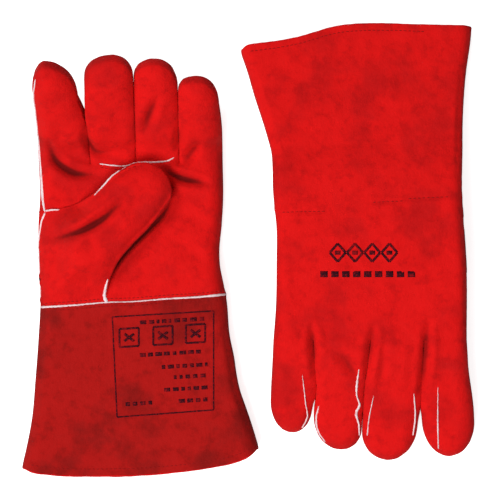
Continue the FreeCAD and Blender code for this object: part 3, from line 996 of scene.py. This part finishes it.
def rub_and_shade_from_shape(co, faces, size):
    """From 0 in a hollow to 1 on a ridge, 0.5 where the surface is flat: above 0.5 the leather is rubbed
    pale, below it painted shade darkens it.
    """
    total, count = np.zeros_like(co), np.zeros(len(co))
    smooth = co.copy()
    ring = np.concatenate([faces, faces[:, ::-1]], 0)
    pairs = np.stack([ring, np.roll(ring, -1, 1)], -1).reshape(-1, 2)
    for _ in range(6):
        total[:] = 0
        np.add.at(total, pairs[:, 0], smooth[pairs[:, 1]])
        count[:] = 0
        np.add.at(count, pairs[:, 0], 1.0)
        smooth = 0.4 * smooth + 0.6 * total / count[:, None]
    raised = ((co - smooth) * smooth_normals(co, faces)).sum(1)
    for _ in range(3):
        mean = np.zeros(len(co))
        np.add.at(mean, pairs[:, 0], raised[pairs[:, 1]])
        raised = mean / count
    return np.clip(0.5 + raised / size, 0, 1)


PART_OF_TAG = dict(palm="hand", back="hand", cuff_front="cuff", cuff_back="cuff", thumb="thumb",
                   **{f"{f}_skin": f for f in FINGERS})
REPLACED = dict(
    palm=["palm_panel"], back=["back_panel"], cuff_front=["cuff_front"], cuff_back=["cuff_back"],
    thumb=["thumb_wing", "thumb_front", "thumb_back"],
    **{f"{f}_skin": [f"{f}_back", f"{f}_front"] for f in FINGERS},
)


class Laid:
    """A glove's leather as it lies, in metres, with outward faces and smooth normals."""

    def __init__(self, plan, leather):
        part_of = np.array([PART_OF_TAG[t] for t in leather.tag])
        self.co = np.zeros_like(leather.co)
        for part in sorted(set(part_of)):
            used = np.unique(leather.faces[part_of == part])
            self.co[used] = laid(plan, leather.co[used], part)
        self.faces, self.coarse_faces = leather.faces, leather.coarse_faces
        if plan.glove["palm_up"]:
            self.faces, self.coarse_faces = self.faces[:, ::-1], self.coarse_faces[:, ::-1]
        self.co[:, 2] = np.maximum(self.co[:, 2], REST_GAP * MM)
        self.normals = smooth_normals(self.co, self.faces)
        # pale rubbing on ridges above 0.5; painted shade in hollows and creases below it
        self.worn = np.clip(rub_and_shade_from_shape(self.co, self.faces, RUB_AND_SHADE_HEIGHT) - CREASE_SHADE * leather.crease_shade, 0, 1)
        tree = BVHTree.FromPolygons(self.co.tolist(), self.faces.tolist())
        self.room = np.full(len(self.co), 1.0)
        for i, (point, normal) in enumerate(zip(self.co.tolist(), self.normals.tolist())):
            inward = -Vector(normal)
            distance = tree.ray_cast(Vector(point) + inward * 1e-4, inward)[3]
            if distance is not None:
                self.room[i] = distance


def finish_piece(plan, obj, part, slot, *nodes):
    attach(plan, obj, part)
    if nodes:
        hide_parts(*[f"{plan.side}_{node}" for node in nodes])


def build_skins(plan, leather, lying):
    for tag in sorted(set(leather.tag)):
        slot = "cuff_leather" if tag == "cuff_front" else "hand_leather"
        faces = lying.faces[leather.tag == tag]
        name = f"{plan.side}_{tag}_leather"
        piece = thick_piece(name, lying, faces, 0.0, LEATHER, MATERIALS[slot], lying.worn)
        finish_piece(plan, piece, PART_OF_TAG[tag], slot, *REPLACED[tag])


def build_linings(plan, leather, lying):
    """The fleece inside the leather, one piece for each moving part. It ends where the leather lies flat."""
    parts = np.array([PART_OF_TAG[t] for t in leather.coarse_tag])
    outer = LEATHER + LINING_GAP
    middles = leather.co[lying.coarse_faces].mean(1)
    centre, height = middles[:, :2], middles[:, 2]
    roomy = (lying.room[lying.coarse_faces] > LINING_ROOM * (outer + LINING) * MM).all(1)
    roomy &= distance_to_lines(centre, [thumb_lines(plan)[3]]) > THUMB_LINING_START
    partings = [[plan.finger_edge(f, "hi")(0.0), plan.knuckles] for f in FINGERS[:-1]]
    clear = np.linalg.norm(centre[:, None] - partings, axis=2).min(1) > PARTING_CLEAR
    clear &= (distance_to_lines(centre, [np.array(THUMB_CREVICE)]) > CREVICE_CLEAR) | (height < MIDDLE)
    for part in sorted(set(parts)):
        faces = lying.coarse_faces[(parts == part) & (roomy if part == "thumb" else clear)]
        piece = thick_piece(f"{plan.side}_{part}_fleece", lying, faces, outer, outer + LINING,
                            MATERIALS["lining_fleece"])
        finish_piece(plan, piece, part, "lining_fleece", f"{part}_lining")


# ---------------------------------------------------------------- hem
# The turned edge's section: (distance beyond the panels' edge, depth under their surface), mm.
HEM_SECTION = [(-0.3, 0.35), (0.3, 0.05), (0.8, 0.35), (1.1, 1.2), (1.2, 2.5), (1.1, 3.7), (0.8, 4.7),
               (0.1, 5.2), (-4.5, 5.3), (-HEM_DEPTH, 5.2), (-HEM_DEPTH, 4.1), (-4.5, 4.1), (-0.3, 4.0)]


def build_hem(plan, leather, lying):
    """The cuff's edge, turned in over the lining."""
    following = dict(rim_edges(lying.faces))
    loop = [min(following)]
    while following[loop[-1]] != loop[0]:
        loop.append(following[loop[-1]])
    at, normal = lying.co[loop], lying.normals[loop]
    along = np.roll(at, -1, 0) - np.roll(at, 1, 0)
    beyond = np.cross(along, normal)
    beyond /= np.linalg.norm(beyond, axis=1)[:, None]
    open_way = plan.to_frame([[0, -1, 0]])[0] - plan.to_frame([[0, 0, 0]])[0]
    beyond *= np.sign((beyond @ open_way).sum())
    section = np.array(HEM_SECTION) * MM
    co = at[:, None] + beyond[:, None] * section[None, :, :1] - normal[:, None] * section[None, :, 1:]
    rows, columns = co.shape[:2]
    faces = grid_quads(np.arange(rows * columns).reshape(rows, columns), ring=True, loop=True)
    piece = new_piece(f"{plan.side}_cuff_turned_hem", co.reshape(-1, 3), faces, MATERIALS["hand_leather"])
    outwards(piece)
    finish_piece(plan, piece, "cuff", "hand_leather", "cuff_hem")


def outwards(obj):
    bm = bmesh.new()
    bm.from_mesh(obj.data)
    bmesh.ops.recalc_face_normals(bm, faces=bm.faces)
    bm.to_mesh(obj.data)
    bm.free()


# ---------------------------------------------------------------- strips along the surface
class Surface:
    """Finds the leather's surface above or below a plan point, in the glove's own frame."""

    def __init__(self, leathers):
        points, faces, count = [], [], 0
        for leather in leathers:
            points.append(leather.co)
            faces.append(leather.faces + count)
            count += len(leather.co)
        self.tree = BVHTree.FromPolygons(np.concatenate(points).tolist(), np.concatenate(faces).tolist())

    def find(self, place, palm):
        """Points and outward normals on the palm side or the back, over plan points."""
        way = 1.0 if palm else -1.0
        found = []
        for x, y in place:
            spot = self.tree.ray_cast(Vector((x, y, 120 * way)), Vector((0, 0, -way)))
            if spot[0] is None:
                spot = self.tree.find_nearest(Vector((x, y, MIDDLE + 4 * way)))
            normal = spot[1] if spot[1].z * way > 0 else -spot[1]
            found.append((spot[0][:], normal[:]))
        at, normal = np.array(found).transpose(1, 0, 2)
        if len(at) > 4:
            spread_out = np.pad(normal, ((2, 2), (0, 0)), mode="edge")
            normal = sum(spread_out[i:i + len(normal)] for i in range(5))
        return at, normal / np.linalg.norm(normal, axis=1)[:, None]


class Strips:
    """Half-round or flat strips lying on a glove, gathered into one piece."""

    def __init__(self, plan, surface, palm, part):
        self.plan, self.surface, self.palm, self.part = plan, surface, palm, part
        self.points, self.faces, self.count = [], [], 0

    def add(self, path, width, height, step=1.2, sink=0.5, rough=0.0, seed=0, flat=False):
        """A strip along a plan path. width may be a list, spread evenly along the path."""
        path = np.array(path, float)
        length = np.linalg.norm(np.diff(path, axis=0), axis=1).sum()
        count = max(int(length / step), 2) + 1
        place = even_points(path, count)
        at, normal = self.surface.find(place, self.palm)
        along = np.gradient(at, axis=0)
        side = np.cross(normal, along)
        side /= np.linalg.norm(side, axis=1)[:, None]
        share = np.linspace(0, 1, count)
        width = np.interp(share, np.linspace(0, 1, len(width)), width) if isinstance(width, list) else width
        taper = np.minimum(1, np.sqrt(np.minimum(share, 1 - share) * length / 1.2 + 0.15))
        rng = np.random.default_rng(seed)
        half = width / 2 * (1 + rough * rng.uniform(-1, 1, count)) * (1.0 if flat else taper)
        tall = height * (1 + rough * rng.uniform(-1, 1, count)) * (1.0 if flat else taper)
        at = at + side * (rough * 0.35 * rng.uniform(-1, 1, count))[:, None]
        if flat:
            section = [(1, -sink), (1, 1), (0, 1), (-1, 1), (-1, -sink)]
        else:
            arch = [(math.cos(a), math.sin(a)) for a in np.linspace(0.15, math.pi - 0.15, 6)]
            section = [(1, -sink), *arch, (-1, -sink)]
        rings = []
        for s, h in section:
            raised = tall if h > 0 else np.ones(count)
            rings.append(at + side * (half * s)[:, None] + normal * (raised * h)[:, None])
        index = self.count + np.arange(count * len(section)).reshape(count, -1)
        self.faces.extend(grid_quads(index, ring=True).tolist())
        self.faces.extend([index[0].tolist(), index[-1][::-1].tolist()])
        self.points.append(np.stack(rings, 1).reshape(-1, 3))
        self.count += index.size

    def stitches(self, path, pitch=3.6, length=2.7, width=0.75, height=0.25):
        """A row of stitches along a plan path."""
        path = np.array(path, float)
        total = np.linalg.norm(np.diff(path, axis=0), axis=1).sum()
        count = int(total / pitch)
        fine = even_points(path, count * 4 + 1)
        reach = length / pitch * 2
        for i in range(count):
            middle = fine[i * 4 + 2]
            way = fine[i * 4 + 4] - fine[i * 4]
            way = way / np.linalg.norm(way) * length / 2
            self.add([middle - way, middle, middle + way], width, height, step=length / reach, sink=0.4)

    def piece(self, name, material, slot, *nodes):
        co = laid(self.plan, np.concatenate(self.points), self.part)
        co[:, 2] = np.maximum(co[:, 2], 0.0)
        obj = new_piece(f"{self.plan.side}_{name}", co, self.faces, material)
        outwards(obj)
        finish_piece(self.plan, obj, self.part, slot, *nodes)


def along_fingers(plan, line):
    """A line whose second number counts from the knuckles, as a plan line."""
    return np.array(line, float) + [0, plan.knuckles]


def build_palm_welts(plan, surface):
    """The pale strips that show in the seams of the palm side."""
    welt = MATERIALS["welt_leather"]
    strips = Strips(plan, surface, True, "hand")
    strips.add(WRIST_WELT, [2.0, 1.5, 1.1, 1.0, 1.4, 1.7, 1.9], 0.9, rough=0.22, seed=3)
    strips.add(along_fingers(plan, FINGER_BASE_WELT), [0.9, 1.2, 1.0, 1.3, 1.5, 1.0], 0.8, rough=0.2, seed=4)
    strips.piece("palm_seam_strips", welt, "welt_leather", "palm_seam_welts")
    strips = Strips(plan, surface, True, "thumb")
    strips.add(THUMB_TOP_WELT, [0.9, 1.3, 1.5, 1.2, 0.6], 0.8, rough=0.2, seed=5)
    strips.add(THUMB_LOW_WELT, [0.9, 1.9, 2.9, 2.4], 1.0, rough=0.2, seed=6)
    strips.add(SIDE_TEE_WELT, [0.8, 1.5, 1.5], 0.9, rough=0.2, seed=7)
    strips.piece("thumb_seam_strip", welt, "welt_leather", "thumb_welt")
    strips = Strips(plan, surface, True, "hand")
    strips.add(WRIST_SIDE_WELT, [1.6, 1.7, 1.2, 0.8, 0.8, 1.0, 1.4], 0.8, rough=0.2, seed=8)
    strips.piece("side_seam_strip", welt, "welt_leather", "side_welt")
    strips = Strips(plan, surface, True, "index")
    strips.add(along_fingers(plan, INDEX_SIDE_WELT), [0.7, 1.2, 1.2, 1.2, 1.3, 1.8, 2.8, 3.2, 1.4], 0.9,
               rough=0.15, seed=9)
    strips.piece("index_seam_strip", welt, "welt_leather", "index_welt")


# The seams on the backs of the fingers, as (x, distance from the knuckles), with their widths in mm.
BACK_WELTS = {
    "right": dict(
        little=[([(-54.6, 21), (-51.9, 46), (-50.6, 60), (-55, 70)], [0.5, 0.9, 1.0, 0.7])],
        ring=[([(-40.7, 50), (-42.8, 60), (-41.5, 72), (-35, 82)], [1.0, 1.5, 1.4, 0.7]),
              ([(-8.0, 18), (-9.6, 40), (-7.5, 50), (-9.6, 54), (-7.8, 66), (-7.2, 77)],
               [0.8, 1.9, 1.2, 2.2, 1.6, 0.8])],
        middle=[([(4.4, 41), (0.8, 60), (-0.6, 76)], [0.5, 1.0, 0.9]),
                ([(37.6, 39), (38.8, 60), (37.2, 76)], [0.6, 1.3, 1.0])],
        index=[([(57.4, 33), (57.5, 50), (57.8, 70), (58.6, 88)], [0.5, 0.9, 1.2, 0.9])],
    ),
    "left": dict(
        little=[([(-68, 16), (-68.5, 40), (-66, 56)], [0.8, 1.2, 0.8]),
                ([(-43, 18), (-42.5, 38), (-44, 56)], [0.8, 1.2, 0.8])],
        ring=[([(-33.5, 20), (-33, 44), (-32, 66)], [0.8, 1.3, 0.8]),
              ([(-7.5, 20), (-6.5, 44), (-7, 68)], [0.8, 1.3, 0.8])],
        middle=[([(3, 20), (4, 44), (5, 70)], [0.8, 1.3, 0.8]),
                ([(30, 20), (33.5, 44), (33.5, 68)], [0.8, 1.3, 0.8])],
        index=[([(41, 20), (46.5, 44), (54, 66)], [0.8, 1.3, 0.8]),
               ([(73.5, 16), (75, 40), (77, 60)], [0.8, 1.2, 0.8])],
    ),
}


def build_back_welts(plan, surface):
    for number, (finger, welts) in enumerate(BACK_WELTS[plan.side].items()):
        strips = Strips(plan, surface, False, finger)
        for line, width in welts:
            strips.add(along_fingers(plan, line), width, 0.9, rough=0.25, seed=20 + number)
        nodes = [] if finger == "index" else [f"{finger}_welt"]
        strips.piece(f"{finger}_back_seam_strips", MATERIALS["welt_leather"], "welt_leather", *nodes)


def build_stitching(plan, surface):
    """The rows of thread beside the seams and round the hem."""
    rows = Strips(plan, surface, True, "hand")
    rows.stitches(np.array(WRIST_WELT) + [0, 3.0])
    rows.stitches(along_fingers(plan, np.array(FINGER_BASE_WELT) - [0, 3.0])[:4])
    rows.piece("palm_stitching", THREAD, None)
    rows = Strips(plan, surface, False, "hand")
    for _, line, _, _ in BACK_WRIST_SEAM:
        rows.stitches(line)
    rows.piece("back_wrist_stitching", THREAD, None)
    for palm, name in ((True, "front"), (False, "back")):
        hem = np.array(plan.glove["hem"], float)
        line = hem[(hem[:, 0] > hem[0, 0] + 5) & (hem[:, 0] < hem[-1, 0] - 5)] + [0, 6.5]
        rows = Strips(plan, surface, palm, "cuff")
        rows.stitches(line)
        if palm:
            rows.stitches(np.array(WRIST_WELT) - [0, 3.2])
        rows.piece(f"cuff_{name}_stitching", THREAD, None)


# ---------------------------------------------------------------- plain printed marks
INK_HEIGHT = 0.12           # mm
STAMP_SLOPE = 0.06          # how much the printed frame's rows drop per mm across the cuff


def print_bar(marks, start, end, width):
    middle = ((start[0] + end[0]) / 2, (start[1] + end[1]) / 2)
    marks.add([start, middle, end], width, INK_HEIGHT, step=1.5, sink=0.2, flat=True)


def print_loop(marks, corners, width):
    for start, end in zip(corners, corners[1:] + corners[:1]):
        print_bar(marks, start, end, width)


def build_cuff_mark(plan, surface):
    """A printed frame with three boxes and rows of plain bars on the palm side of the left cuff."""
    marks = Strips(plan, surface, True, "cuff")
    print_loop(marks, [(17, -14), (-67, -9), (-67, -91), (13, -97)], 1.2)
    rng = np.random.default_rng(5)
    for x0 in (3, -25, -52):
        y0 = -31 - STAMP_SLOPE * (x0 - 3)
        print_loop(marks, [(x0 + 8, y0 + 7), (x0 - 8, y0 + 8), (x0 - 8, y0 - 7), (x0 + 8, y0 - 8)], 1.7)
        print_bar(marks, (x0 + 4, y0 - 3), (x0 - 4, y0 + 3), 2.2)
        print_bar(marks, (x0 + 4, y0 + 3), (x0 - 4, y0 - 3), 2.2)
    for y, left, right in ((-19, -6, -60), (-46, -6, -60), (-57, -24, -62), (-66, -34, -62), (-76, -26, -62),
                           (-86, 6, -16), (-86, -38, -62)):
        x = left
        while x > right + 2:
            long = rng.uniform(2.2, 6.0)
            end = (max(x - long, right), y - STAMP_SLOPE * (x - long))
            print_bar(marks, (x, y - STAMP_SLOPE * x), end, 3.2)
            x -= long + rng.uniform(1.6, 2.6)
    marks.piece("cuff_print", INK, None)


def build_back_mark(plan, surface):
    """A printed row of lozenges over a row of dashes on the back of the right hand."""
    marks = Strips(plan, surface, False, "hand")
    for x in (-25.6, -11.4, 2.8, 17):
        print_loop(marks, [(x - 6.5, 41), (x, 33.5), (x + 6.5, 41), (x, 48.5)], 2.1)
        print_bar(marks, (x - 2.4, 41), (x + 2.4, 41), 3.4)
    for x in np.arange(-40, 36, 9.0):
        print_bar(marks, (x, 58.7), (x + 6.2, 58.7), 5.0)
    marks.piece("back_print", INK, None)


def build_glove(side):
    plan = Plan(side)
    seed = 11 if side == "left" else 47
    main, thumb = Leather(glove_shell(plan), TAGS), Leather(thumb_shell(plan), ["thumb"])
    main.press(plan, PALM_CREASES + seam_dips(plan, True), BACK_CREASES + seam_dips(plan, False), seed)
    thumb.press(plan, THUMB_CREASES, [], seed + 5)
    for leather in (main, thumb):
        lying = Laid(plan, leather)
        build_skins(plan, leather, lying)
        build_linings(plan, leather, lying)
        if leather is main:
            build_hem(plan, leather, lying)
    surface = Surface([main, thumb])
    build_palm_welts(plan, surface)
    build_back_welts(plan, surface)
    build_stitching(plan, surface)
    if side == "left":
        build_cuff_mark(plan, surface)
    else:
        build_back_mark(plan, surface)


for side in GLOVES:
    build_glove(side)


# ---------------------------------------------------------------- floor, light and camera
LIGHTS = [      # name, place, size in metres, watts
    ("key", (-1.8, 1.4, 2.8), 1.0, 46.0),
    ("top", (-1.3, -2.0, 3.6), 2.0, 158.0),
]
VIEW_WIDTH = 0.415          # metres that the view takes in at VIEW_LEVEL
VIEW_LEVEL = 0.02           # metres above the floor


def build_stage():
    mesh = bpy.data.meshes.new("floor")
    corners = [(-3, -3, 0), (3, -3, 0), (3, 3, 0), (-3, 3, 0)]
    mesh.from_pydata(corners, [], [(0, 1, 2, 3)])
    mat, _, shader, _ = node_material("floor_white")
    shader.inputs["Base Color"].default_value = (0.92, 0.92, 0.92, 1)
    shader.inputs["Roughness"].default_value = 0.9
    shader.inputs["Emission Color"].default_value = (1, 1, 1, 1)
    shader.inputs["Emission Strength"].default_value = 0.8
    mesh.materials.append(mat)
    floor = linked("floor", mesh)
    floor.visible_diffuse = False
    world = bpy.data.worlds.new("studio")
    world.use_nodes = True
    world.node_tree.nodes["Background"].inputs["Color"].default_value = (1, 1, 1, 1)
    world.node_tree.nodes["Background"].inputs["Strength"].default_value = 0.2
    bpy.context.scene.world = world
    for name, place, size, power in LIGHTS:
        light = bpy.data.lights.new(name, "AREA")
        light.size, light.energy = size, power
        lamp = linked(name, light)
        lamp.location = place
        lamp.rotation_euler = (-Vector(place)).to_track_quat("-Z", "Y").to_euler()


def build_camera():
    camera = bpy.data.cameras.new("camera")
    camera.lens, camera.sensor_width = 350.0, 36.0
    distance = VIEW_WIDTH / camera.sensor_width * camera.lens
    obj = linked("camera", camera)
    obj.location = (0.0, -0.0005, distance + VIEW_LEVEL)
    bpy.context.scene.camera = obj


build_stage()
build_camera()
bpy.context.scene.view_settings.view_transform = "Standard"
